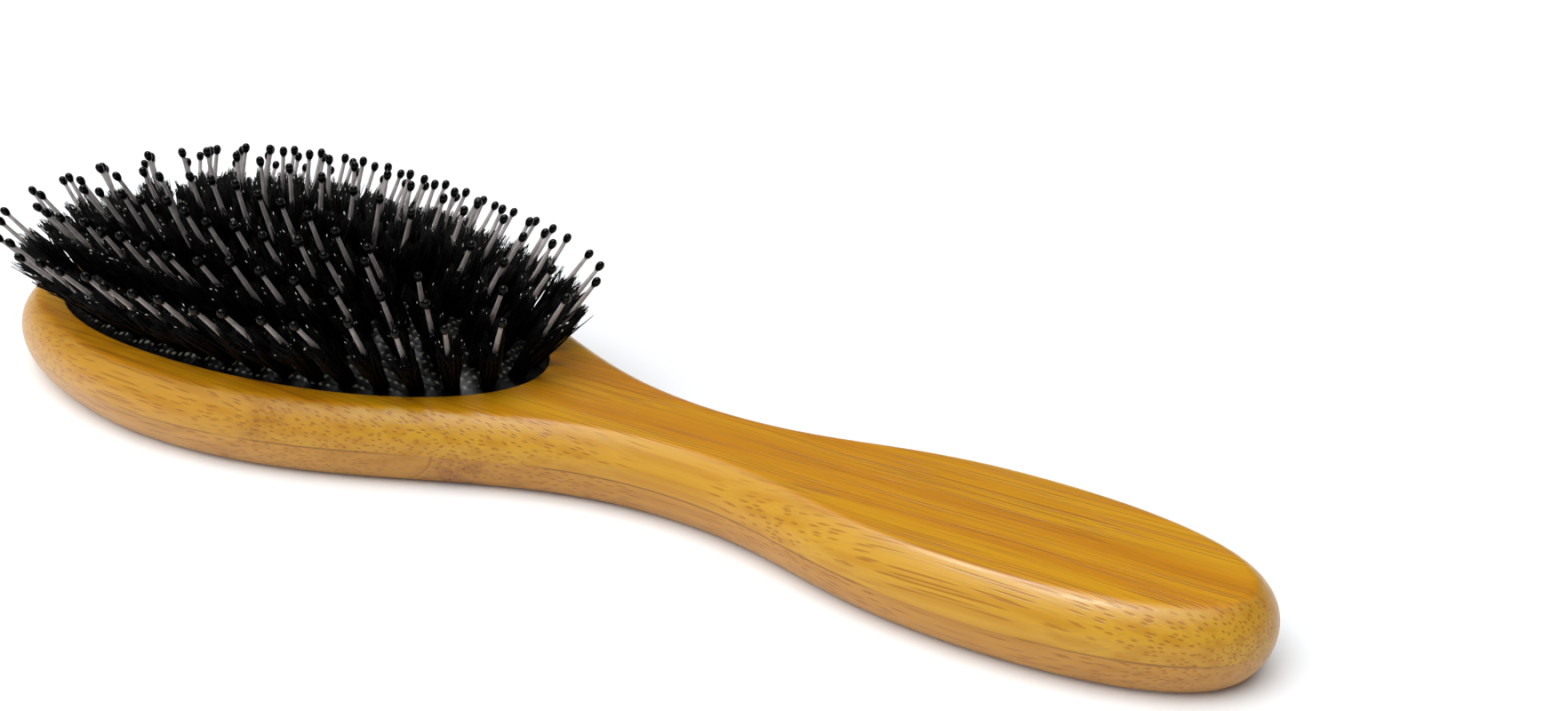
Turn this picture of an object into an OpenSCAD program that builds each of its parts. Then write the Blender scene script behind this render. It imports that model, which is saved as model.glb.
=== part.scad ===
// Cushion beard brush. A laminated bamboo body holds a domed rubber air cushion,
// which carries tufts of boar bristle, each one set round a ball-tipped nylon pin.
// Origin: under the cushion's centre, on the flat back face that the brush lies on.
// +X runs down the handle, +Y across the brush, +Z the way the bristles point.

/* [Bamboo body] */
// Overall length, from the head's end to the handle's end
brush_l = 231; // [216:1:246]
// Width of the head at its widest
head_w = 69.4; // [68:0.2:76]
// Width of the neck at its narrowest
neck_w = 20.8; // [18:0.2:24]
// Width of the handle at its widest
handle_w = 34.4; // [30:0.2:40]
// Thickness of the whole board, back ply and front ply together
board_t = 12; // [11.5:0.5:13]
// Thickness of the back ply, which closes the air chamber
back_t = 5.8; // [5:0.2:6.2]
// Width of one bamboo strip in the back ply
strip_w = 20; // [19:0.5:22]
// How far the rounded side draws in at the back face
back_draw = 3; // [2:0.1:3.5]
// How far the rounded side draws in at the front face
front_draw = 3.6; // [2.4:0.1:4]

/* [Cushion opening] */
// Distance from the head's end to the cushion's centre
centre_from_head = 55.5; // [55:0.5:57]
// Width of the oval opening in the front ply
opening_w = 52; // [50:0.5:53]
// Length of the oval from its centre towards the handle
opening_tail = 58; // [56:0.5:60]
// Length of the oval from its centre towards the head's end
opening_nose = 46; // [45:0.5:46.5]
// Depth of the hidden groove that grips the rubber's flange
groove_depth = 2.2; // [1.6:0.1:2.4]

/* [Rubber cushion] */
// Height of the dome above its rim
dome_h = 10; // [8:0.5:11]
// Depth of the rim below the front face
rim_drop = 1; // [0.8:0.1:1.5]
// Thickness of the rubber sheet
rubber_t = 1.6; // [1.4:0.1:1.8]

/* [Tufts and pins] */
// Inset of the outer ring of tufts from the opening's edge
ring_inset = 3; // [2.9:0.1:3.2]
// Distance between one ring of tufts and the next
ring_gap = 5.6; // [5.5:0.05:5.7]
// Length of a pin above the rubber, with its ball
pin_l = 19; // [16:0.2:20]
// Diameter of the ball on a pin's end
ball_d = 1.5; // [1.4:0.1:1.8]
// Height of a tuft of boar bristle above the rubber
tuft_h = 12.5; // [10:0.5:13]
// Lean of the tufts along the opening's sides, in degrees
side_lean = 45; // [38:1:46]
// Lean of the tufts at the opening's handle end, in degrees
tail_lean = 38; // [34:1:44]
// Lean of the tufts at the opening's head end, in degrees
nose_lean = 31; // [26:1:44]

/* [Hidden] */
RINGS = [1, 2, 3, 4, 5];

// Body outline: distances from the handle's end, and the reach of each curve's handles
handle_at = 0.16 * brush_l;
neck_at = 0.361 * brush_l;
head_at = 0.7535 * brush_l;
handle_end_x = brush_l - centre_from_head;
outline_spans = [
    [[0, 0], [0, 0.65 * handle_w / 2], [0.41 * handle_at, handle_w / 2],
     [handle_at, handle_w / 2]],
    [[handle_at, handle_w / 2], [handle_at + 0.095 * brush_l, handle_w / 2],
     [neck_at - 0.08 * brush_l, neck_w / 2], [neck_at, neck_w / 2]],
    [[neck_at, neck_w / 2], [neck_at + 0.151 * brush_l, neck_w / 2],
     [head_at - 0.1865 * brush_l, head_w / 2], [head_at, head_w / 2]],
    [[head_at, head_w / 2], [head_at + 0.0375 * brush_l, head_w / 2],
     [brush_l, 0.867 * head_w / 2], [brush_l, 0]],
];
span_steps = 14;

// Side bulge: two arcs, one towards each face, that meet at its widest
bulge_z = 0.53 * board_t;
back_r = arc_radius(bulge_z, back_draw);
front_r = arc_radius(board_t - bulge_z, front_draw);
ply_levels = 6;

// Oval opening
opening_steps = 72;
tail_power = 2;
nose_power = 2.2;
groove_z = back_t + 1.4;
groove_h = 2;
fit_gap = 0.2;
flange_h = groove_h - 2 * fit_gap;

// Rubber
rim_z = board_t - rim_drop;
rubber_base_z = groove_z + fit_gap;
dome_steps = 56;
dome_shares = [1, 0.86, 0.7, 0.53, 0.36, 0.18];

// Tufts: how many stand in each ring, where the first stands as a share of the pitch,
// and the row down the middle
ring_counts = [43, 37, 31, 24];
ring_starts = [0, 0.5, 0, 0];
ring_table_steps = 180;
row_count = 9;
row_from = -17;
row_to = 28;
shank_d = 2.4;
shank_top = 0.6;
shank_depth = 2.4;
tuft_d = 4.6;
tuft_crown = 0.8;
lean_power = 0.85;
hole_gap = 0.18;
hole_sides = 6;
pin_depth = 1.8;
pin_foot_d = 1.05;
pin_tip_d = 0.55;
anchor_d = 0.45;
anchor_l = 2.3;
anchor_depth = 2.1;

// ---- Body outline ----

function bezier(p, t) =
    pow(1 - t, 3) * p[0] + 3 * t * pow(1 - t, 2) * p[1]
    + 3 * t * t * (1 - t) * p[2] + pow(t, 3) * p[3];

function bezier_dir(p, t) =
    let (d = pow(1 - t, 2) * (p[1] - p[0]) + 2 * t * (1 - t) * (p[2] - p[1])
             + t * t * (p[3] - p[2]))
    d / norm(d);

// One side of the outline from the handle's end to the head's end, drawn in by inset,
// as [distance from the handle's end, half width]
function half_outline(inset) = [
    for (s = [0:len(outline_spans) - 1])
        for (i = [0:s == len(outline_spans) - 1 ? span_steps : span_steps - 1])
            let (t = i / span_steps, d = bezier_dir(outline_spans[s], t))
            bezier(outline_spans[s], t) - inset * [-d.y, d.x]
];

function outline(inset) =
    let (half = half_outline(inset), last = len(half) - 1)
    concat(
        [for (p = half) [handle_end_x - p.x, p.y]],
        [for (i = [last - 1:-1:1]) [handle_end_x - half[i].x, -half[i].y]]
    );

function arc_radius(rise, draw) = (rise * rise + draw * draw) / (2 * draw);

function side_inset(z) =
    let (r = z > bulge_z ? front_r : back_r)
    r - sqrt(r * r - pow(z - bulge_z, 2));

// The flat end of a ring that is its own mirror image across the X axis: bands across it
function cap(n) = concat(
    [for (i = [0:n / 2 - 2]) [i, i + 1, n - i - 1]],
    [for (i = [1:n / 2 - 1]) [i, n - i - 1, n - i]]
);

// A closed solid through a stack of mirror-symmetric rings with equal numbers of points,
// counted anticlockwise seen from above, the first one on the X axis
module skin(rings) {
    n = len(rings[0]);
    top = (len(rings) - 1) * n;
    polyhedron(
        points = [for (ring = rings) for (p = ring) p],
        faces = concat(
            cap(n),
            [for (f = cap(n)) [top + f[2], top + f[1], top + f[0]]],
            [for (k = [0:len(rings) - 2]) for (i = [0:n - 1])
                let (a = k * n + i, b = k * n + (i + 1) % n) [a, a + n, b + n]],
            [for (k = [0:len(rings) - 2]) for (i = [0:n - 1])
                let (a = k * n + i, b = k * n + (i + 1) % n) [a, b + n, b]]
        ),
        convexity = 6
    );
}

// A slice of the round-sided board between two heights
module board_slice(z_low, z_high) {
    skin([
        for (k = [0:ply_levels])
            let (z = z_low + (z_high - z_low) * k / ply_levels)
            [for (p = outline(side_inset(z))) [p.x, p.y, z]]
    ]);
}

// ---- Oval opening ----

function reach(x) = x > 0 ? opening_tail : opening_nose;
function power(x) = x > 0 ? tail_power : nose_power;

function oval(inset, steps) = [
    for (i = [0:steps - 1])
        let (c = cos(360 * i / steps), s = sin(360 * i / steps), n = power(c),
             r = pow(pow(abs(c) / (reach(c) - inset), n)
                     + pow(abs(s) / (opening_w / 2 - inset), n), -1 / n))
        [r * c, r * s]
];

// 0 at the cushion's centre, 1 at the opening's edge
function share(p) =
    let (n = power(p.x))
    pow(pow(abs(p.x) / reach(p.x), n) + pow(abs(p.y) / (opening_w / 2), n), 1 / n);

function dome_z(p) = rim_z + dome_h * (1 - pow(share(p), 2));

// ---- Tuft positions: each is [x, y, direction of lean] ----

function path_length(points, to) =
    [for (i = 0, s = 0; i <= to;
          s = s + norm(points[(i + 1) % len(points)] - points[i % len(points)]), i = i + 1) s];

function ring_tufts(k) =
    let (points = oval(ring_inset + (k - 1) * ring_gap, ring_table_steps),
         n = ring_table_steps,
         length = path_length(points, n),
         xs = [for (i = [0:n]) [length[i], points[i % n].x]],
         ys = [for (i = [0:n]) [length[i], points[i % n].y]],
         pitch = length[n] / ring_counts[k - 1],
         start = ring_starts[k - 1] * pitch)
    [
        for (i = [0:ring_counts[k - 1] - 1])
            let (q = start + i * pitch,
                 ahead = (q + pitch / 8) % length[n],
                 behind = (q - pitch / 8 + length[n]) % length[n],
                 dx = lookup(ahead, xs) - lookup(behind, xs),
                 dy = lookup(ahead, ys) - lookup(behind, ys))
            [lookup(q, xs), lookup(q, ys), atan2(-dx, dy)]
    ];

function row_tufts() = [
    for (i = [0:row_count - 1])
        let (x = row_from + (row_to - row_from) * i / (row_count - 1))
        [x, 0, x > 0 ? 0 : 180]
];

function tufts(ring) = ring == len(RINGS) ? row_tufts() : ring_tufts(ring);

// Tufts lean more the nearer they stand to the opening's edge, and most along its sides
function lean(t) =
    let (end_lean = t.x > 0 ? tail_lean : nose_lean)
    (side_lean * pow(sin(t.z), 2) + end_lean * pow(cos(t.z), 2))
    * pow(share([t.x, t.y]), lean_power);

// Places its children at every tuft of a ring, standing on the rubber and leaning outwards
module at_tufts(ring) {
    for (t = tufts(ring))
        translate([t.x, t.y, dome_z([t.x, t.y])])
            rotate([0, lean(t), t.z])
                children();
}

// ---- Bamboo body ----

// The back ply between two distances across the brush, both as +Y values
module back_strip(y_low, y_high) {
    color("burlywood") difference() {
        board_slice(0, back_t);
        translate([-brush_l, y_low - head_w, -1]) cube([2 * brush_l, head_w, board_t]);
        translate([-brush_l, y_high, -1]) cube([2 * brush_l, head_w, board_t]);
    }
}

module back_strip_outer_left() { back_strip(-head_w, -strip_w); }
module back_strip_inner_left() { back_strip(-strip_w, 0); }
module back_strip_inner_right() { back_strip(0, strip_w); }
module back_strip_outer_right() { back_strip(strip_w, head_w); }

module front_ply() {
    color("goldenrod") difference() {
        board_slice(back_t, board_t);
        translate([0, 0, back_t - 1])
            linear_extrude(board_t) polygon(oval(0, opening_steps));
        translate([0, 0, groove_z])
            linear_extrude(groove_h) polygon(oval(-groove_depth, opening_steps));
    }
}

// ---- Rubber cushion ----

// A straight-sided plug from z_low up to the dome, which is lowered by drop
module dome_plug(inset, z_low, drop) {
    edge = oval(inset, dome_steps);
    skin(concat(
        [[for (p = edge) [p.x, p.y, z_low]]],
        [for (f = dome_shares) [for (p = edge) [f * p.x, f * p.y, dome_z(f * p) - drop]]]
    ));
}

module tuft_hole() {
    translate([0, 0, -3 * rubber_t])
        cylinder(h = 4 * rubber_t, d = (shank_d + 2 * hole_gap) / cos(180 / hole_sides),
                 $fn = hole_sides);
}

module rubber_cushion() {
    color("dimgray") difference() {
        union() {
            dome_plug(fit_gap, rubber_base_z, 0);
            translate([0, 0, rubber_base_z])
                linear_extrude(flange_h) polygon(oval(fit_gap - groove_depth, opening_steps));
        }
        dome_plug(fit_gap + rubber_t, rubber_base_z - 1, rubber_t);
        for (ring = RINGS) at_tufts(ring) tuft_hole();
    }
}

// ---- One tuft's pieces, standing along +Z on the rubber's surface ----

module boar_tuft() {
    rotate_extrude($fn = 24) polygon([
        [0, -shank_depth], [shank_d / 2, -shank_depth], [shank_d / 2, shank_top],
        [tuft_d / 2, tuft_h - tuft_crown], [tuft_d / 2 - tuft_crown, tuft_h], [0, tuft_h],
    ]);
}

module nylon_pin() {
    translate([0, 0, -pin_depth])
        cylinder(h = pin_l - ball_d / 2 + pin_depth, d1 = pin_foot_d, d2 = pin_tip_d, $fn = 24);
}

module ball_tip() {
    translate([0, 0, pin_l - ball_d / 2]) sphere(d = ball_d, $fn = 24);
}

module wire_anchor() {
    translate([0, 0, -anchor_depth])
        rotate([90, 0, 0]) cylinder(h = anchor_l, d = anchor_d, center = true, $fn = 16);
}

// ---- Every piece of one kind in one ring ----

module boar_tufts(ring) { color([0.08, 0.08, 0.08]) at_tufts(ring) boar_tuft(); }
module nylon_pins(ring) { color("gainsboro") at_tufts(ring) nylon_pin(); }
module ball_tips(ring) { color("black") at_tufts(ring) ball_tip(); }
module wire_anchors(ring) { color("silver") at_tufts(ring) wire_anchor(); }

back_strip_outer_left();
back_strip_inner_left();
back_strip_inner_right();
back_strip_outer_right();
front_ply();
rubber_cushion();
boar_tufts(1);  // boar_tufts_ring_1
boar_tufts(2);  // boar_tufts_ring_2
boar_tufts(3);  // boar_tufts_ring_3
boar_tufts(4);  // boar_tufts_ring_4
boar_tufts(5);  // boar_tufts_centre_row
nylon_pins(1);  // nylon_pins_ring_1
nylon_pins(2);  // nylon_pins_ring_2
nylon_pins(3);  // nylon_pins_ring_3
nylon_pins(4);  // nylon_pins_ring_4
nylon_pins(5);  // nylon_pins_centre_row
ball_tips(1);  // ball_tips_ring_1
ball_tips(2);  // ball_tips_ring_2
ball_tips(3);  // ball_tips_ring_3
ball_tips(4);  // ball_tips_ring_4
ball_tips(5);  // ball_tips_centre_row
wire_anchors(1);  // wire_anchors_ring_1
wire_anchors(2);  // wire_anchors_ring_2
wire_anchors(3);  // wire_anchors_ring_3
wire_anchors(4);  // wire_anchors_ring_4
wire_anchors(5);  // wire_anchors_centre_row
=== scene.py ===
"""Looks for the cushion beard brush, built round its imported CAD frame.

The brush lies on its flat back with the bristles up. +X runs down the handle, +Z along the
bristles, and the origin is on the back face under the cushion's centre. Lengths are in metres.
"""

import math

import bmesh
import bpy
import numpy as np
from mathutils import Matrix, Vector


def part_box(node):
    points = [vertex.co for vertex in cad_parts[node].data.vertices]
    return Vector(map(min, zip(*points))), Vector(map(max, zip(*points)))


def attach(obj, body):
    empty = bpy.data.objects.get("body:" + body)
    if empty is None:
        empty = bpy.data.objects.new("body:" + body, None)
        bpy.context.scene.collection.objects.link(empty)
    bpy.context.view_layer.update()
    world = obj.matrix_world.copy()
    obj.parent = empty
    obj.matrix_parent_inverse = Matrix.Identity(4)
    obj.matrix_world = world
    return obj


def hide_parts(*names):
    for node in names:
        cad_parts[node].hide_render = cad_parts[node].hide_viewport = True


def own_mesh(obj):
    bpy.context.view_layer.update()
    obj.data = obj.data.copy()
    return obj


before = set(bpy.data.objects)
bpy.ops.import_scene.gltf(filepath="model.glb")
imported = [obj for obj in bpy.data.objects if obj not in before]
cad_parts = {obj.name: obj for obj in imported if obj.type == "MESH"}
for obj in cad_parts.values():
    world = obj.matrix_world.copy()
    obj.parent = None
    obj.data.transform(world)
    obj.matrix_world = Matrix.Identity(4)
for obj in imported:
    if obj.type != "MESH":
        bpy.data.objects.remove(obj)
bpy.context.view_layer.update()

MM = 0.001

# ---- Driving sizes, from the frame where a node's box gives them ----

PLY_LOW, PLY_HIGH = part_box("front_ply")
HEAD_END_X, HANDLE_END_X = PLY_LOW.x, PLY_HIGH.x
BRUSH_L = HANDLE_END_X - HEAD_END_X
HEAD_W = PLY_HIGH.y - PLY_LOW.y
BACK_T, BOARD_T = PLY_LOW.z, PLY_HIGH.z
NECK_W = 20.8 * MM
HANDLE_W = 34.4 * MM
BACK_DRAW, FRONT_DRAW = 3 * MM, 3.6 * MM
STRIP_W = 20 * MM
CREASE_R = 2.6 * MM

OPENING_W = 52 * MM
OPENING_TAIL = 58 * MM
OPENING_NOSE = 46 * MM
TAIL_POWER, NOSE_POWER = 2.0, 2.2
GROOVE_DEPTH = 2.2 * MM
GROOVE_Z, GROOVE_H = BACK_T + 1.4 * MM, 2 * MM
LIP_R = 0.35 * MM

RUBBER_T = 1.6 * MM
FIT_GAP = 0.2 * MM
RIM_DROP = 1 * MM
RIM_Z = BOARD_T - RIM_DROP
DOME_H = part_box("rubber_cushion")[1].z - RIM_Z
WEAVE_PITCH, WEAVE_HEIGHT = 1.4 * MM, 0.3 * MM
DIMPLE_R, DIMPLE_DEPTH = 1.5 * MM, 0.35 * MM

RINGS = ["ring_1", "ring_2", "ring_3", "ring_4", "centre_row"]
RING_COUNTS = [43, 37, 31, 24]
RING_STARTS = [0, 0.5, 0, 0]
RING_INSET, RING_GAP = 3 * MM, 5.6 * MM
ROW_COUNT, ROW_FROM, ROW_TO = 9, -17 * MM, 28 * MM
SIDE_LEAN, TAIL_LEAN, NOSE_LEAN = (math.radians(a) for a in (45, 38, 31))
LEAN_POWER = 0.85
PIN_L = 19 * MM
PIN_FOOT_R, PIN_MIDDLE_R, PIN_TIP_R = 0.56 * MM, 0.54 * MM, 0.32 * MM
BEAD_L, BEAD_R = 1.9 * MM, 0.73 * MM
TUFT_H = 12.5 * MM
HAIRS_PER_TUFT, WISPS_PER_TUFT = 170, 13

# Browns of the bamboo, as sRGB triples from 0 to 255
GLUE_BROWN = (104, 56, 22)
VEIN_BROWN = (132, 70, 6)
BUNDLE_BROWN = (136, 76, 8)
KNOT_BROWN = (116, 58, 24)
PIT_BROWN = (78, 36, 12)


# ---- Meshes ----

def add_piece(name, verts, faces, material, body="handle", smooth_angle=None):
    """A mesh object on a body. Faces sharper than smooth_angle keep their edge."""
    mesh = bpy.data.meshes.new(name)
    mesh.from_pydata(np.asarray(verts, float).tolist(), [], faces)
    mesh.validate()
    piece = bpy.data.objects.new(name, mesh)
    bpy.context.scene.collection.objects.link(piece)
    mesh.materials.append(material)
    finish_shading(mesh, smooth_angle)
    if body:
        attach(piece, body)
    return piece


def add_values(piece, name, values):
    """One number per vertex, for a material to read."""
    attribute = piece.data.attributes.new(name, "FLOAT", "POINT")
    attribute.data.foreach_set("value", np.asarray(values, np.float32).ravel())


def finish_shading(mesh, smooth_angle=None):
    """Smooth faces, apart from edges sharper than smooth_angle."""
    mesh.polygons.foreach_set("use_smooth", np.ones(len(mesh.polygons), bool))
    if smooth_angle is not None:
        mesh.set_sharp_from_angle(angle=smooth_angle)
    mesh.update()


def cap(n, start=0, flip=False):
    """Bands across a ring that mirrors itself over the X axis, as faces."""
    faces = [[0, 1, n - 1]]
    faces += [[i, i + 1, n - i - 1, n - i] for i in range(1, n // 2 - 1)]
    faces += [[n // 2 - 1, n // 2, n // 2 + 1]]
    return [[start + i for i in (f[::-1] if flip else f)] for f in faces]


def skin(rings):
    """Vertices and faces of a closed solid through rings, counted anticlockwise from above."""
    n, last = len(rings[0]), len(rings) - 1
    faces = [f[::-1] for f in cap(n)]
    faces += cap(n, last * n)
    for k in range(last):
        for i in range(n):
            j = (i + 1) % n
            faces.append([k * n + i, k * n + j, (k + 1) * n + j, (k + 1) * n + i])
    return np.vstack(rings), faces


def at_height(points, z):
    return np.c_[points, np.full(len(points), z)]


# ---- Outline of the body ----

def outline_spans():
    """Four cubic curves from the handle's end to the head's end, as half of the outline."""
    handle_at, neck_at, head_at = 0.16 * BRUSH_L, 0.361 * BRUSH_L, 0.7535 * BRUSH_L
    handle, neck, head = HANDLE_W / 2, NECK_W / 2, HEAD_W / 2
    return np.array([
        [(0, 0), (0, 0.65 * handle), (0.41 * handle_at, handle), (handle_at, handle)],
        [(handle_at, handle), (handle_at + 0.095 * BRUSH_L, handle),
         (neck_at - 0.08 * BRUSH_L, neck), (neck_at, neck)],
        [(neck_at, neck), (neck_at + 0.151 * BRUSH_L, neck),
         (head_at - 0.1865 * BRUSH_L, head), (head_at, head)],
        [(head_at, head), (head_at + 0.0375 * BRUSH_L, head),
         (BRUSH_L, 0.867 * head), (BRUSH_L, 0)],
    ])


def outline_with_normals(steps=56):
    """Points of the whole outline, anticlockwise from the handle's end, and outward normals."""
    points, normals = [], []
    for k, (a, b, c, d) in enumerate(outline_spans()):
        for t in np.arange(steps + (k == 3)) / steps:
            slope = (1 - t) ** 2 * (b - a) + 2 * t * (1 - t) * (c - b) + t ** 2 * (d - c)
            slope /= np.linalg.norm(slope)
            points.append((1 - t) ** 3 * a + 3 * t * (1 - t) ** 2 * b
                          + 3 * t ** 2 * (1 - t) * c + t ** 3 * d)
            normals.append((slope[1], slope[0]))
    points, normals = np.array(points), np.array(normals)
    points[:, 0] = HANDLE_END_X - points[:, 0]
    mirror = np.array([1, -1])
    return (np.vstack([points, points[-2:0:-1] * mirror]),
            np.vstack([normals, normals[-2:0:-1] * mirror]))


OUTLINE, OUTLINE_NORMALS = outline_with_normals()
BULGE_Z = 0.53 * BOARD_T


def side_profile(to_top, steps=16, fillet_steps=7):
    """(inset, z) from the bulge's widest point to the flat face, with the crease rounded."""
    rise, draw = (BOARD_T - BULGE_Z, FRONT_DRAW) if to_top else (BULGE_Z, BACK_DRAW)
    arc_r = (rise ** 2 + draw ** 2) / (2 * draw)
    meet = math.asin((rise - CREASE_R) / (arc_r - CREASE_R))
    profile = [(arc_r * (1 - math.cos(a)), arc_r * math.sin(a))
               for a in np.linspace(0, meet, steps)]
    centre = (arc_r - (arc_r - CREASE_R) * math.cos(meet), rise - CREASE_R)
    profile += [(centre[0] - CREASE_R * math.cos(a), centre[1] + CREASE_R * math.sin(a))
                for a in np.linspace(meet, math.pi / 2, fillet_steps)[1:]]
    sign = 1 if to_top else -1
    return [(inset, BULGE_Z + sign * height) for inset, height in profile]


def board_rings(profile):
    return [at_height(OUTLINE - inset * OUTLINE_NORMALS, z) for inset, z in profile]


def below_bulge(z):
    """(inset, z) on the side, for a height between the back face and the bulge."""
    arc_r = (BULGE_Z ** 2 + BACK_DRAW ** 2) / (2 * BACK_DRAW)
    return arc_r - math.sqrt(arc_r ** 2 - (z - BULGE_Z) ** 2), z


# ---- Oval opening and dome ----

def oval(inset, steps=220):
    """Points of the opening's outline moved inwards by inset, anticlockwise from the tail."""
    angle = 2 * math.pi * np.arange(steps) / steps
    c, s = np.cos(angle), np.sin(angle)
    reach = np.where(c > 0, OPENING_TAIL, OPENING_NOSE) - inset
    power = np.where(c > 0, TAIL_POWER, NOSE_POWER)
    half = OPENING_W / 2 - inset
    r = (np.abs(c / reach) ** power + np.abs(s / half) ** power) ** (-1 / power)
    return np.c_[r * c, r * s]


def share(points):
    """0 at the cushion's centre, 1 at the opening's edge."""
    reach = np.where(points[:, 0] > 0, OPENING_TAIL, OPENING_NOSE)
    power = np.where(points[:, 0] > 0, TAIL_POWER, NOSE_POWER)
    return (np.abs(points[:, 0] / reach) ** power
            + np.abs(2 * points[:, 1] / OPENING_W) ** power) ** (1 / power)


def dome_z(points):
    """Height of the cushion's upper face, before its dimples and weave."""
    return RIM_Z + DOME_H * (1 - share(points) ** 2)


# ---- Where the tufts stand ----

def ring_places(k):
    """(x, y) and the direction of lean of each tuft in ring k, or in the row down the middle."""
    if k == len(RING_COUNTS):
        x = np.linspace(ROW_FROM, ROW_TO, ROW_COUNT)
        return np.c_[x, 0 * x], np.where(x > 0, 0, math.pi)
    path = oval(RING_INSET + k * RING_GAP, 180)
    path = np.vstack([path, path[:1]])
    length = np.r_[0, np.cumsum(np.linalg.norm(np.diff(path, axis=0), axis=1))]
    pitch = length[-1] / RING_COUNTS[k]

    def at(q):
        q = q % length[-1]
        return np.c_[np.interp(q, length, path[:, 0]), np.interp(q, length, path[:, 1])]

    q = (np.arange(RING_COUNTS[k]) + RING_STARTS[k]) * pitch
    along = at(q + pitch / 8) - at(q - pitch / 8)
    return at(q), np.arctan2(-along[:, 0], along[:, 1])


class Tufts:
    """The places and axes of one ring's tufts, with the small unevenness of a filled brush."""

    def __init__(self, k):
        self.rng = np.random.default_rng(100 + k)
        places, turn = ring_places(k)
        n = len(places)
        end_lean = np.where(places[:, 0] > 0, TAIL_LEAN, NOSE_LEAN)
        lean = SIDE_LEAN * np.sin(turn) ** 2 + end_lean * np.cos(turn) ** 2
        lean = lean * share(places) ** LEAN_POWER + np.radians(self.rng.normal(0, 1.5, n))
        turn = turn + np.radians(self.rng.normal(0, 2.5, n))
        self.n = n
        self.foot = np.c_[places, dome_z(places)]
        self.axis = np.c_[np.sin(lean) * np.cos(turn), np.sin(lean) * np.sin(turn), np.cos(lean)]
        self.side = np.c_[-np.sin(turn), np.cos(turn), 0 * turn]
        self.front = np.cross(self.side, self.axis)
        bend = self.rng.uniform(0, 2 * math.pi, n)
        amount = self.rng.uniform(0, 0.5, n)[:, None] * MM
        self.bend = amount * (np.cos(bend)[:, None] * self.side
                              + np.sin(bend)[:, None] * self.front)
        self.reach = PIN_L * (1 + self.rng.uniform(-0.014, 0.008, n))

    def spine(self, height):
        """Points on every tuft's pin at these heights above the rubber: (tufts, heights, 3)."""
        height = np.broadcast_to(height, (self.n, np.shape(height)[-1]))
        bow = (height / PIN_L) ** 2
        return (self.foot[:, None] + height[..., None] * self.axis[:, None]
                + bow[..., None] * self.bend[:, None])


TUFTS = [Tufts(k) for k in range(len(RINGS))]


def tubes(path, radius, u, v, sides):
    """Closed round tubes. path is (n, k, 3), radius (n, k) or (k,). u and v (n, 3) span the
    section and run clockwise seen from the path's end, so that the faces look outwards."""
    n, k = path.shape[:2]
    radius = np.broadcast_to(radius, (n, k))[:, :, None, None]
    angle = 2 * math.pi * np.arange(sides) / sides
    section = (np.cos(angle)[None, :, None] * u[:, None]
               + np.sin(angle)[None, :, None] * v[:, None])
    verts = path[:, :, None] + radius * section[:, None]
    index = np.arange(n * k * sides).reshape(n, k, sides)
    ahead = np.roll(index, -1, axis=2)
    quads = np.stack([index[:, 1:], ahead[:, 1:], ahead[:, :-1], index[:, :-1]], axis=-1)
    faces = quads.reshape(-1, 4).tolist()
    faces += index[:, 0].tolist() + index[:, -1, ::-1].tolist()
    return verts.reshape(-1, 3), faces


# ---- Materials ----

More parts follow.
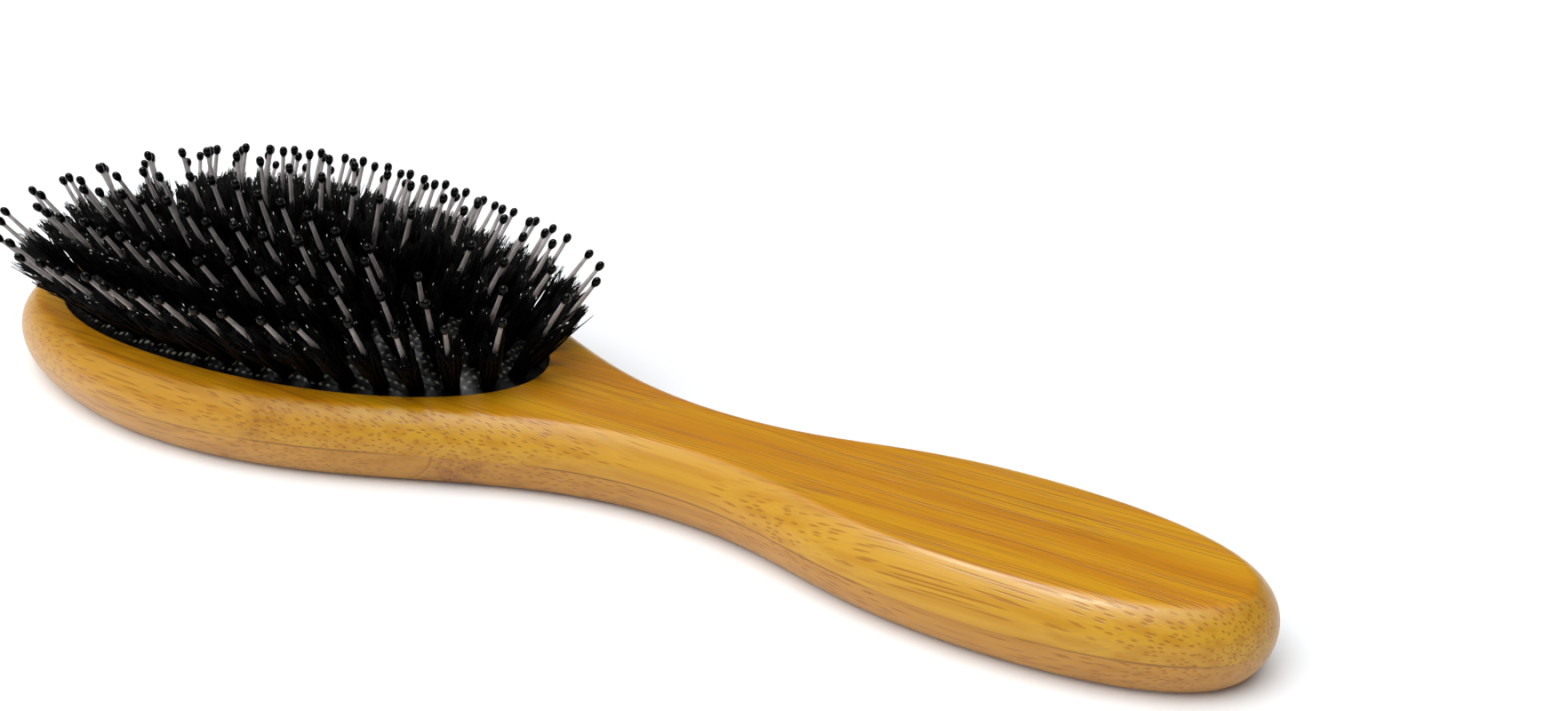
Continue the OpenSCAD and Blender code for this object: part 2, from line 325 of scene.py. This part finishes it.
class Graph:
    """Short names for the nodes of one node tree."""

    def __init__(self, tree):
        self.tree = tree

    def feed(self, socket, value):
        if isinstance(value, bpy.types.NodeSocket):
            self.tree.links.new(value, socket)
        elif value is not None:
            socket.default_value = value

    def math(self, operation, a, b=None, clamp=False):
        node = self.tree.nodes.new("ShaderNodeMath")
        node.operation = operation
        node.use_clamp = clamp
        self.feed(node.inputs[0], a)
        self.feed(node.inputs[1], b)
        return node.outputs[0]

    def vector(self, operation, a, b=None, scale=None):
        node = self.tree.nodes.new("ShaderNodeVectorMath")
        node.operation = operation
        self.feed(node.inputs[0], a)
        self.feed(node.inputs[1], b)
        if scale is not None:
            node.inputs["Scale"].default_value = scale
        return node.outputs[0]

    def split(self, vector):
        node = self.tree.nodes.new("ShaderNodeSeparateXYZ")
        self.feed(node.inputs[0], vector)
        return node.outputs

    def noise(self, vector, stretch, detail=3.0, roughness=0.55):
        """Noise whose features are 1 / stretch millimetres along each axis."""
        node = self.tree.nodes.new("ShaderNodeTexNoise")
        self.feed(node.inputs["Vector"], self.vector("MULTIPLY", vector, stretch))
        node.inputs["Scale"].default_value = 1.0
        node.inputs["Detail"].default_value = detail
        node.inputs["Roughness"].default_value = roughness
        return node.outputs[0]

    def drift(self, vector, stretch, amount):
        """Slow wandering of a place, by amount millimetres along each axis."""
        node = self.tree.nodes.new("ShaderNodeTexNoise")
        self.feed(node.inputs["Vector"], self.vector("MULTIPLY", vector, stretch))
        node.inputs["Scale"].default_value = 1.0
        node.inputs["Detail"].default_value = 2.0
        centred = self.vector("SUBTRACT", node.outputs["Color"], (0.5, 0.5, 0.5))
        return self.vector("ADD", vector, self.vector("MULTIPLY", centred, amount))

    def rods(self, across, up, pitch):
        """Distance from the nearest of a bundle of endless rods, in units of their pitch."""
        place = self.tree.nodes.new("ShaderNodeCombineXYZ")
        self.feed(place.inputs["X"], across)
        self.feed(place.inputs["Y"], up)
        node = self.tree.nodes.new("ShaderNodeTexVoronoi")
        node.voronoi_dimensions = "2D"
        node.inputs["Scale"].default_value = 1 / pitch
        self.feed(node.inputs["Vector"], place.outputs[0])
        return node.outputs["Distance"]

    def cells(self, vector, stretch):
        node = self.tree.nodes.new("ShaderNodeTexVoronoi")
        self.feed(node.inputs["Vector"], self.vector("MULTIPLY", vector, stretch))
        node.inputs["Scale"].default_value = 1.0
        return node.outputs["Distance"]

    def ease(self, value, low, high):
        """0 below low, 1 above high, smooth between; falls instead where low is the larger."""
        node = self.tree.nodes.new("ShaderNodeMapRange")
        node.interpolation_type = "SMOOTHSTEP"
        self.feed(node.inputs["Value"], value)
        node.inputs["From Min"].default_value = min(low, high)
        node.inputs["From Max"].default_value = max(low, high)
        node.inputs["To Min"].default_value = float(low > high)
        node.inputs["To Max"].default_value = float(low < high)
        return node.outputs["Result"]

    def mix(self, factor, a, b):
        node = self.tree.nodes.new("ShaderNodeMix")
        node.data_type = "RGBA"
        self.feed(node.inputs["Factor"], factor)
        self.feed(node.inputs["A"], colour(a))
        self.feed(node.inputs["B"], colour(b))
        return node.outputs["Result"]


class Finish(Graph):
    """A material with one Principled shader, and its place on the object in millimetres."""

    def __init__(self, name, **values):
        self.material = bpy.data.materials.new(name)
        self.material.use_nodes = True
        super().__init__(self.material.node_tree)
        self.shader = next(n for n in self.tree.nodes if n.type == "BSDF_PRINCIPLED")
        for socket, value in values.items():
            self.shader.inputs[socket.replace("_", " ")].default_value = value
        coordinates = self.tree.nodes.new("ShaderNodeTexCoord")
        self.place = self.vector("SCALE", coordinates.outputs["Object"], scale=1 / MM)

    def attribute(self, name):
        node = self.tree.nodes.new("ShaderNodeAttribute")
        node.attribute_name = name
        return node.outputs["Fac"]

    def bump(self, height, distance, strength=1.0):
        node = self.tree.nodes.new("ShaderNodeBump")
        node.inputs["Strength"].default_value = strength
        node.inputs["Distance"].default_value = distance
        self.feed(node.inputs["Height"], height)
        self.feed(self.shader.inputs["Normal"], node.outputs[0])


def colour(value):
    """An sRGB triple from 0 to 255 as linear RGBA; a socket passes through."""
    if isinstance(value, bpy.types.NodeSocket):
        return value
    linear = [(c / 255 / 12.92) if c <= 10 else ((c / 255 + 0.055) / 1.055) ** 2.4 for c in value]
    return (*linear, 1.0)


def darker(tone, amount):
    return [c * amount for c in tone]


def bamboo(name, light, dark, side_tone, shift, flat_lines, knots=(), seams=()):
    """Lacquered bamboo. Its vascular bundles are dark rods along X, so that they show as long
    lines on the flats, as dashes where a side cuts them at a slant and as spots on the ends.
    side_tone colours the cut sides, flat_lines is how strong the lines are, knots are the
    (x, y, strength) of a stem's nodes and seams the y of the glue lines, in millimetres."""
    wood = Finish(name, Coat_Weight=0.06, Coat_Roughness=0.14, IOR=1.5, Specular_IOR_Level=0.34)
    x, y, z = wood.split(wood.place)
    grain = wood.drift(wood.vector("ADD", wood.place, shift), (0.016, 0.05, 0.05), (0, 3.2, 3.2))
    _, across, up = wood.split(grain)

    geometry = wood.tree.nodes.new("ShaderNodeNewGeometry")
    upright = wood.math("ABSOLUTE", wood.split(geometry.outputs["Normal"])[2])
    turned = wood.ease(upright, 0.97, 0.85)

    bands = wood.noise(grain, (0.005, 0.11, 0.11), 2)
    fibres = wood.noise(grain, (0.03, 1.7, 1.7), 5, 0.62)
    threads = wood.noise(grain, (0.07, 6.0, 6.0), 2, 0.5)
    patches = wood.ease(wood.noise(grain, (0.02, 0.13, 0.13), 2), 0.34, 0.54)
    bundle = wood.ease(wood.rods(across, up, 0.62), 0.3, 0.12)
    mottle = wood.ease(wood.rods(up, across, 1.9), 0.5, 0.1)
    veins = wood.ease(wood.rods(across, up, 2.0), 0.2, 0.08)
    veins = wood.math("MULTIPLY", wood.math("MULTIPLY", veins, wood.ease(turned, 0.8, 0.2)),
                      wood.math("MULTIPLY", patches, flat_lines))
    strength = wood.math("ADD", flat_lines, wood.math("MULTIPLY", turned, 0.6 - flat_lines))
    bundle = wood.math("MULTIPLY", wood.math("MULTIPLY", bundle, patches), strength)
    mottle = wood.math("MULTIPLY", wood.math("MULTIPLY", mottle, turned), 0.4)

    tone = wood.mix(wood.ease(bands, 0.36, 0.64), light, dark)
    tone = wood.mix(wood.math("MULTIPLY", wood.ease(fibres, 0.45, 0.7), 0.6), tone,
                    darker(dark, 0.8))
    tone = wood.mix(wood.math("MULTIPLY", wood.ease(threads, 0.5, 0.28), 0.3), tone,
                    darker(light, 1.1))
    tone = wood.mix(wood.math("MULTIPLY", turned, 0.6), tone, side_tone)
    tone = wood.mix(mottle, tone, darker(dark, 0.9))
    tone = wood.mix(veins, tone, VEIN_BROWN)
    tone = wood.mix(bundle, tone, BUNDLE_BROWN)
    for knot_x, knot_y, knot_strength in knots:
        tone = knot(wood, tone, grain, x, y, knot_x, knot_y, knot_strength)

    gaps = wood.ease(wood.noise(wood.place, (0.035, 0.035, 0), 1), 0.42, 0.58)
    ply_line = wood.ease(wood.math("ABSOLUTE", wood.math("SUBTRACT", z, BACK_T / MM)), 0.24, 0.06)
    ply_line = wood.math("MULTIPLY", wood.math("MULTIPLY", ply_line, turned), gaps)
    tone = wood.mix(wood.math("MULTIPLY", ply_line, 0.6), tone, GLUE_BROWN)
    for seam in seams:
        line = wood.ease(wood.math("ABSOLUTE", wood.math("SUBTRACT", y, seam)), 0.16, 0.03)
        tone = wood.mix(wood.math("MULTIPLY", line, 0.45), tone, GLUE_BROWN)
    wood.feed(wood.shader.inputs["Base Color"], tone)

    relief = wood.math("SUBTRACT", wood.math("MULTIPLY", fibres, 0.8), bundle)
    wood.bump(relief, 0.06 * MM, 0.8)
    wood.feed(wood.shader.inputs["Roughness"],
              wood.math("ADD", 0.26, wood.math("MULTIPLY", fibres, 0.16)))
    return wood.material


def knot(wood, tone, grain, x, y, knot_x, knot_y, strength):
    """A stem's node across one strip: a brown band with wrinkles and small dark pits."""
    waver = wood.math("MULTIPLY", wood.noise(grain, (0.08, 0.22, 0.22), 4, 0.65), 14.0)
    off = wood.math("ABSOLUTE", wood.math("SUBTRACT", wood.math("ADD", x, waver), knot_x + 7.0))
    inside = wood.ease(wood.math("ABSOLUTE", wood.math("SUBTRACT", y, knot_y)), 10.5, 8.0)
    band = wood.math("MULTIPLY", wood.ease(off, 5.0, 0.4), inside)
    wrinkles = wood.noise(grain, (0.9, 0.5, 0.5), 4, 0.7)
    shade = wood.math("MULTIPLY", band, wood.ease(wrinkles, 0.3, 0.62))
    tone = wood.mix(wood.math("MULTIPLY", shade, strength), tone, KNOT_BROWN)
    pits = wood.math("MULTIPLY", wood.ease(wood.cells(grain, (0.8, 0.8, 0.8)), 0.26, 0.14), band)
    return wood.mix(wood.math("MULTIPLY", pits, strength), tone, PIT_BROWN)


def cloth_print_rubber():
    """Black rubber sheet with its printed cloth weave. The lumps of the weave are painted greyer,
    as a painted highlight where they catch the light.
    """
    rubber = Finish("cushion_rubber", IOR=1.5, Specular_IOR_Level=0.13)
    lumps = rubber.attribute("weave")
    strands = rubber.noise(rubber.place, (5.0, 5.0, 5.0), 2)
    # Painted highlight: the weave's raised lumps are coloured grey, as if catching the light.
    lump_painted_highlight = rubber.mix(rubber.ease(lumps, 0.62, 0.97), (1, 1, 1), (112, 115, 104))
    dust = rubber.ease(rubber.noise(rubber.place, (0.8, 0.8, 0.8), 4, 0.7), 0.55, 0.8)
    rubber.feed(rubber.shader.inputs["Base Color"],
                rubber.mix(rubber.math("MULTIPLY", dust, 0.12), lump_painted_highlight, (74, 78, 72)))
    rubber.feed(rubber.shader.inputs["Roughness"],
                rubber.math("SUBTRACT", 0.55, rubber.math("MULTIPLY", lumps, 0.25)))
    rubber.bump(strands, 0.03 * MM, 0.5)
    return rubber.material


def bristle():
    """Black boar bristle. A few of the cut tips are painted near-white: partly the pale split
    ends of boar bristle, partly painted glints.
    """
    hair = Finish("boar_bristle", IOR=1.55, Specular_IOR_Level=0.06)
    # Painted glint: the last few per cent of some hairs are near-white, partly their pale cut
    # ends and partly painted glints.
    tips = hair.math("MULTIPLY", hair.ease(hair.attribute("along"), 0.962, 0.98),
                     hair.attribute("pale_end_and_glint"))
    streaks = hair.noise(hair.place, (1.5, 1.5, 1.5), 2)
    body = hair.mix(hair.ease(streaks, 0.35, 0.7), (2, 2, 2), (9, 7, 6))
    hair.feed(hair.shader.inputs["Base Color"], hair.mix(tips, body, (240, 238, 232)))
    hair.feed(hair.shader.inputs["Roughness"],
              hair.math("ADD", 0.35, hair.math("MULTIPLY", streaks, 0.25)))
    return hair.material


def nylon():
    """Cloudy nylon that lets light through, with faint drawing lines down its length."""
    pin = Finish("nylon_pin", Roughness=0.32, IOR=1.53, Transmission_Weight=0.5)
    cloud = pin.noise(pin.place, (0.5, 0.5, 0.5), 3)
    lines = pin.noise(pin.place, (6.0, 6.0, 0.4), 2)
    tone = pin.mix(pin.ease(cloud, 0.35, 0.7), (196, 188, 186), (156, 149, 147))
    pin.feed(pin.shader.inputs["Base Color"],
             pin.mix(pin.math("MULTIPLY", pin.ease(lines, 0.5, 0.7), 0.3), tone, (150, 142, 138)))
    pin.bump(lines, 0.02 * MM, 0.5)
    return pin.material


def dipped_black():
    """Gloss black dip with slight orange peel."""
    bead = Finish("ball_tip", Roughness=0.1, IOR=1.5, Specular_IOR_Level=0.14)
    peel = bead.noise(bead.place, (3.0, 3.0, 3.0), 2)
    bead.feed(bead.shader.inputs["Base Color"],
              bead.mix(bead.ease(peel, 0.3, 0.7), (3, 3, 3), (9, 8, 8)))
    bead.bump(peel, 0.02 * MM, 0.3)
    return bead.material


def drawn_wire():
    """Steel wire with fine drawing marks."""
    wire = Finish("anchor_wire", Roughness=0.3, Metallic=1.0)
    marks = wire.noise(wire.place, (8.0, 1.0, 8.0), 3)
    wire.feed(wire.shader.inputs["Base Color"],
              wire.mix(wire.ease(marks, 0.3, 0.7), (150, 150, 150), (196, 196, 194)))
    wire.bump(marks, 0.01 * MM, 0.5)
    return wire.material


# ---- Bamboo body ----

def cut(piece, cutter):
    """Takes the cutter's solid out of the piece, and removes the cutter."""
    modifier = piece.modifiers.new("cut", "BOOLEAN")
    modifier.operation = "DIFFERENCE"
    modifier.solver = "EXACT"
    modifier.object = cutter
    graph = bpy.context.evaluated_depsgraph_get()
    graph.update()
    result = bpy.data.meshes.new_from_object(piece.evaluated_get(graph))
    piece.modifiers.clear()
    piece.data = result
    bpy.data.objects.remove(cutter)


def keep_flats_flat(mesh):
    """Smooth sides, with a sharp edge all round each flat face so that it shades flat."""
    finish_shading(mesh, math.radians(40))
    flat = [abs(p.normal.z) > 0.99999 for p in mesh.polygons]
    kinds = {}
    for polygon, is_flat in zip(mesh.polygons, flat):
        for key in polygon.edge_keys:
            kinds.setdefault(key, set()).add(is_flat)
    for edge in mesh.edges:
        if len(kinds.get(edge.key, ())) == 2:
            edge.use_edge_sharp = True
    mesh.update()


def front_ply():
    material = bamboo("bamboo_front", (198, 144, 15), (183, 117, 5), (184, 142, 52), (37, 11, 5),
                      0.42, knots=((30, -36, 0.3),))
    profile = [below_bulge(BACK_T)] + side_profile(True)
    piece = add_piece("front_ply_bamboo", *skin(board_rings(profile)), material)
    lip = [(-LIP_R * (1 - math.cos(a)), BOARD_T - LIP_R + LIP_R * math.sin(a))
           for a in np.linspace(0, math.pi / 2, 6)]
    steps = [(0, BACK_T - 1 * MM), (0, GROOVE_Z), (-GROOVE_DEPTH, GROOVE_Z),
             (-GROOVE_DEPTH, GROOVE_Z + GROOVE_H), (0, GROOVE_Z + GROOVE_H), *lip,
             (-LIP_R, BOARD_T + 1 * MM)]
    cutter = add_piece("opening", *skin([at_height(oval(i), z) for i, z in steps]),
                       material, body=None)
    cut(piece, cutter)
    keep_flats_flat(piece.data)
    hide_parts("front_ply")


def slice_between(mesh, y_low, y_high):
    """Keeps the part of a closed mesh between two planes across Y, and closes it."""
    work = bmesh.new()
    work.from_mesh(mesh)
    for y, normal in ((y_low, (0, -1, 0)), (y_high, (0, 1, 0))):
        everything = work.verts[:] + work.edges[:] + work.faces[:]
        made = bmesh.ops.bisect_plane(work, geom=everything, dist=1e-7, plane_co=(0, y, 0),
                                      plane_no=normal, clear_outer=True)
        edges = [g for g in made["geom_cut"] if isinstance(g, bmesh.types.BMEdge)]
        if edges:
            bmesh.ops.triangle_fill(work, use_beauty=True, edges=edges, normal=normal)
    bmesh.ops.recalc_face_normals(work, faces=work.faces[:])
    work.to_mesh(mesh)
    work.free()


def back_strips():
    profile = side_profile(False)[::-1]
    profile = [p for p in profile if p[1] < BACK_T - 0.3 * MM] + [below_bulge(BACK_T)]
    verts, faces = skin(board_rings(profile))
    strips = {
        "outer_left": (-HEAD_W, -STRIP_W, (150, 33, 9), ()),
        "inner_left": (-STRIP_W, 0, (71, 5, 2), ((57, -10, 0.6),)),
        "inner_right": (0, STRIP_W, (9, 27, 8), ((25, 10, 0.6),)),
        "outer_right": (STRIP_W, HEAD_W, (55, 90, 4), ()),
    }
    for side, (y_low, y_high, shift, knots) in strips.items():
        material = bamboo(f"bamboo_{side}", (190, 134, 40), (172, 112, 24), (180, 132, 56), shift,
                          0.5, knots, (y_low / MM, y_high / MM))
        piece = add_piece(f"back_strip_{side}_bamboo", verts, faces, material)
        slice_between(piece.data, y_low, y_high)
        keep_flats_flat(piece.data)
        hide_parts(f"back_strip_{side}")


# ---- Rubber cushion ----

def weave(points):
    """Height of a plain cloth weave, from 0 to 1, fading to smooth rubber at the rim."""
    turn = math.radians(9)
    x, y = points[:, 0], points[:, 1]
    u = (x * math.cos(turn) + y * math.sin(turn)) / WEAVE_PITCH
    v = (y * math.cos(turn) - x * math.sin(turn)) / WEAVE_PITCH

    def threads(c, d):
        """One set of threads: round across its own run c, over and under along d."""
        return np.abs(np.sin(math.pi * c)) * (1 + np.sin(math.pi * (d + np.floor(c)))) / 2

    inside = np.clip((0.985 - share(points)) / 0.04, 0, 1)
    return inside * np.maximum(threads(u, v), threads(v, u + 1))


def rubber_cushion():
    """The domed sheet with its skirt and flange. The weave stands out of its upper face, and
    each tuft pulls a small dimple in it."""
    feet = np.vstack([t.foot[:, :2] for t in TUFTS])
    around = 480
    edge = oval(FIT_GAP, around)
    rim_round = 0.5 * MM

    def dome_ring(f, drop, outline):
        """The outline shrunk to f of its size, on the dome or drop below it."""
        points = f * outline
        z = dome_z(points) - drop
        if drop == 0:
            away = np.linalg.norm(points[:, None] - feet[None], axis=2)
            z = z - DIMPLE_DEPTH * np.exp(-(away / DIMPLE_R) ** 2).sum(axis=1)
            z = z + WEAVE_HEIGHT * (weave(points) - 0.6)
        return np.c_[points, z]

    inner = oval(FIT_GAP + RUBBER_T, around)
    shares = np.r_[0.004, np.linspace(0.03, 0.4, 20), np.linspace(0.406, 0.985, 104)]
    base_z, flange_top = GROOVE_Z + FIT_GAP, GROOVE_Z + GROOVE_H - FIT_GAP
    flange = oval(FIT_GAP - GROOVE_DEPTH, around)
    rings = [dome_ring(f, RUBBER_T, inner) for f in shares[::6]]
    rings += [dome_ring(0.985, RUBBER_T, inner), at_height(inner, RIM_Z - RUBBER_T),
              at_height(inner, base_z), at_height(flange, base_z), at_height(flange, flange_top),
              at_height(edge, flange_top)]
    for a in np.linspace(0, math.pi / 2, 5):
        rings.append(at_height(oval(FIT_GAP + rim_round * (1 - math.cos(a)), around),
                               RIM_Z - rim_round * (0.7 - math.sin(a) * 0.9)))
    rings += [dome_ring(f, 0, edge) for f in shares[::-1]]
    piece = add_piece("rubber_cushion_sheet", *skin(rings), cloth_print_rubber(),
                      smooth_angle=math.radians(50))
    add_values(piece, "weave", weave(np.vstack(rings)[:, :2]))
    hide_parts("rubber_cushion")
    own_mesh(piece)


# ---- Tufts, pins and balls ----

def boar_tufts(k, material):
    """Single tapered hairs, each starting in the tuft's hole and fanning out."""
    tufts, rng = TUFTS[k], np.random.default_rng(700 + k)
    n = tufts.n * HAIRS_PER_TUFT
    owner = np.repeat(np.arange(tufts.n), HAIRS_PER_TUFT)
    along = np.array([-0.14, 0.25, 0.68, 1.0])
    # pale_end_and_glint_share is the share of hairs whose tips are painted near-white, partly
    # pale cut ends and partly painted glints.
    foot_r, hold, stray_share, stray_more, pale_end_and_glint_share = 1.12 * MM, 0.92, 0.05, 5, 0.045
    turn = rng.uniform(0, 2 * math.pi, n)
    start = foot_r * np.sqrt(rng.uniform(0.1, 1, n))
    fan = start * rng.uniform(0.9, 1.6, n) + rng.normal(0, 0.2 * MM, n)
    stray = rng.normal(0, 0.16 * MM, (n, 2))
    stray = stray * np.where(rng.random(n) < stray_share, stray_more, 1)[:, None]
    own = np.c_[np.cos(turn), np.sin(turn)]

    # Hairs stick together in wisps: each leans towards its wisp's middle near the tip, and a
    # wisp's hairs end close together
    wisps = tufts.n * WISPS_PER_TUFT
    wisp = owner * WISPS_PER_TUFT + rng.integers(0, WISPS_PER_TUFT, n)
    wisp_turn = rng.uniform(0, 2 * math.pi, wisps)
    wisp_out = 2.7 * MM * np.sqrt(rng.uniform(0.05, 1, wisps))
    middle = (wisp_out * np.array([np.cos(wisp_turn), np.sin(wisp_turn)])).T[wisp]
    wisp_length = rng.uniform(0.86, 1.16, wisps)[wisp]
    length = TUFT_H * wisp_length * (1 - np.abs(rng.normal(0, 0.07, n)))
    s = np.clip(along, 0, None)
    free = (start[:, None] + fan[:, None] * s ** 1.15)[..., None] * own[:, None]
    held = hold * (s ** 1.8)[None, :, None]
    spread = (free * (1 - held) + middle[:, None] * held
              + stray[:, None] * (s ** 2.2)[None, :, None])
    a, b = spread[..., :1], spread[..., 1:]
    rise = (length[:, None] * along)[..., None] * tufts.axis[owner][:, None]
    path = (tufts.foot[owner][:, None] + rise
            + a * tufts.side[owner][:, None] + b * tufts.front[owner][:, None])
    radius = rng.uniform(0.1, 0.14, n)[:, None] * MM * np.array([1, 1, 1.1, 0.45])
    sides = 3
    verts, faces = tubes(path, radius, tufts.side[owner], tufts.front[owner], sides)
    piece = add_piece(f"boar_bristles_{RINGS[k]}", verts, faces, material, RINGS[k])
    shape = (n, len(along), sides)
    # The hairs whose tips are painted near-white, partly pale cut ends and partly painted glints.
    pale_end_and_glint = rng.random(n) < pale_end_and_glint_share
    add_values(piece, "along", np.broadcast_to(s[None, :, None], shape))
    add_values(piece, "pale_end_and_glint", np.broadcast_to(pale_end_and_glint[:, None, None], shape))
    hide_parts(f"boar_tufts_{RINGS[k]}")


def nylon_pins(k, material):
    """Tapered pins, from inside the rubber to inside the ball."""
    tufts, in_bead = TUFTS[k], 1.1 * MM
    along = np.linspace(-0.1, 1, 9)
    height = along[None] * (tufts.reach[:, None] - in_bead)
    radius = np.interp(along, [0, 0.25, 1], [PIN_FOOT_R, PIN_MIDDLE_R, PIN_TIP_R])
    verts, faces = tubes(tufts.spine(height), radius, tufts.side, tufts.front, 12)
    piece = add_piece(f"pins_{RINGS[k]}", verts, faces, material, RINGS[k], math.radians(50))
    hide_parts(f"nylon_pins_{RINGS[k]}")


def ball_tips(k, material):
    """Drop-shaped beads, a little longer than wide, with a short collar round the pin."""
    tufts = TUFTS[k]
    collar_r, neck_r, nose_r = 0.34 * MM, 0.36 * MM, 0.03 * MM
    angle = np.linspace(math.pi, 0, 13)
    fraction = (1 + np.cos(angle)) / 2
    radius = BEAD_R * np.sin(angle) * (0.82 + 0.22 * fraction)
    radius[0], radius[-1] = collar_r, nose_r
    radius[1] = max(radius[1], neck_r)
    height = tufts.reach[:, None] - BEAD_L * (1 - fraction)[None]
    verts, faces = tubes(tufts.spine(height), radius, tufts.side, tufts.front, 20)
    piece = add_piece(f"beads_{RINGS[k]}", verts, faces, material, RINGS[k])
    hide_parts(f"ball_tips_{RINGS[k]}")


def filling():
    hair, pin, bead, wire = bristle(), nylon(), dipped_black(), drawn_wire()
    for k, ring in enumerate(RINGS):
        boar_tufts(k, hair)
        nylon_pins(k, pin)
        ball_tips(k, bead)
        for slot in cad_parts[f"wire_anchors_{ring}"].material_slots:
            slot.material = wire


# ---- Stage, light and camera ----

def floor():
    half = 6.0
    corners = [(-half, -half, 0), (half, -half, 0), (half, half, 0), (-half, half, 0)]
    paper = Finish("white_paper", Roughness=0.85)
    paper.shader.inputs["Base Color"].default_value = (0.92, 0.945, 0.975, 1)
    drop = Vector((0, 0, -0.05 * MM))
    piece = add_piece("paper_floor", [Vector(c) + drop for c in corners], [[0, 1, 2, 3]],
                      paper.material, body=None)


def soft_sun(name, toward, spread, strength, lights=True, glints=True):
    """Distant soft light: toward points at it, spread is how wide it looks, in degrees. It can
    be made to light only, or only to be reflected."""
    data = bpy.data.lights.new(name, "SUN")
    data.energy, data.angle = strength, math.radians(spread)
    lamp = bpy.data.objects.new(name, data)
    bpy.context.scene.collection.objects.link(lamp)
    lamp.rotation_euler = Vector(toward).to_track_quat("Z", "Y").to_euler()
    lamp.visible_diffuse, lamp.visible_glossy = lights, glints


def light():
    """A wide softbox nearly overhead with two small lamps that only glint, fills from the front
    and the left, and a sky that is bright at the horizon, as a paper sweep is, dark above it and
    brighter again overhead."""
    soft_sun("top", (0.0, -0.14, 0.98), 60, 1.95)
    soft_sun("spark", (-0.04, -0.14, 0.98), 12, 1.5, lights=False)
    soft_sun("edge_spark", (-0.3, 0.26, 0.92), 12, 1.4, lights=False)
    soft_sun("fill", (-0.38, -0.74, 0.56), 50, 1.6, glints=False)
    soft_sun("left", (-0.82, -0.1, 0.56), 40, 0.6, glints=False)
    world = bpy.context.scene.world or bpy.data.worlds.new("studio")
    bpy.context.scene.world = world
    world.use_nodes = True
    sky = Graph(world.node_tree)
    up = sky.split(sky.tree.nodes.new("ShaderNodeTexCoord").outputs["Generated"])[2]
    sweep = sky.math("MULTIPLY", sky.ease(up, 0.2, 0.06), 0.8)
    ceiling = sky.math("ADD", 0.04, sky.math("MULTIPLY", sky.ease(up, 0.5, 0.95), 0.5))
    seen = sky.tree.nodes.new("ShaderNodeMix")
    rays = sky.tree.nodes.new("ShaderNodeLightPath")
    sky.feed(seen.inputs["Factor"], rays.outputs["Is Camera Ray"])
    sky.feed(seen.inputs["A"], sky.math("MAXIMUM", sweep, ceiling))
    seen.inputs["B"].default_value = 1.0
    background = next(n for n in sky.tree.nodes if n.type == "BACKGROUND")
    sky.feed(background.inputs["Color"], seen.outputs["Result"])


def camera():
    """Looks down the brush from the near side of the handle, slightly rolled."""
    azimuth, elevation, roll = math.radians(30.506), math.radians(22.335), math.radians(-1.514)
    back = Vector((math.sin(azimuth) * math.cos(elevation),
                   -math.cos(azimuth) * math.cos(elevation), math.sin(elevation)))
    right = (-back).cross(Vector((0, 0, 1))).normalized()
    up = right.cross(-back)
    turned_right = math.cos(roll) * right - math.sin(roll) * up
    turned_up = math.sin(roll) * right + math.cos(roll) * up
    data = bpy.data.cameras.new("camera")
    data.sensor_width, data.lens = 36.0, 32.63
    data.clip_start, data.clip_end = 0.01, 50
    place = Vector((197.95, -158.28, 102.57)) * MM
    rotation = Matrix((turned_right, turned_up, back)).transposed().to_4x4()
    item = bpy.data.objects.new("camera", data)
    bpy.context.scene.collection.objects.link(item)
    item.matrix_world = Matrix.Translation(place) @ rotation
    bpy.context.scene.camera = item


camera()
floor()
light()
front_ply()
back_strips()
rubber_cushion()
filling()

bpy.context.scene.view_settings.view_transform = "Standard"
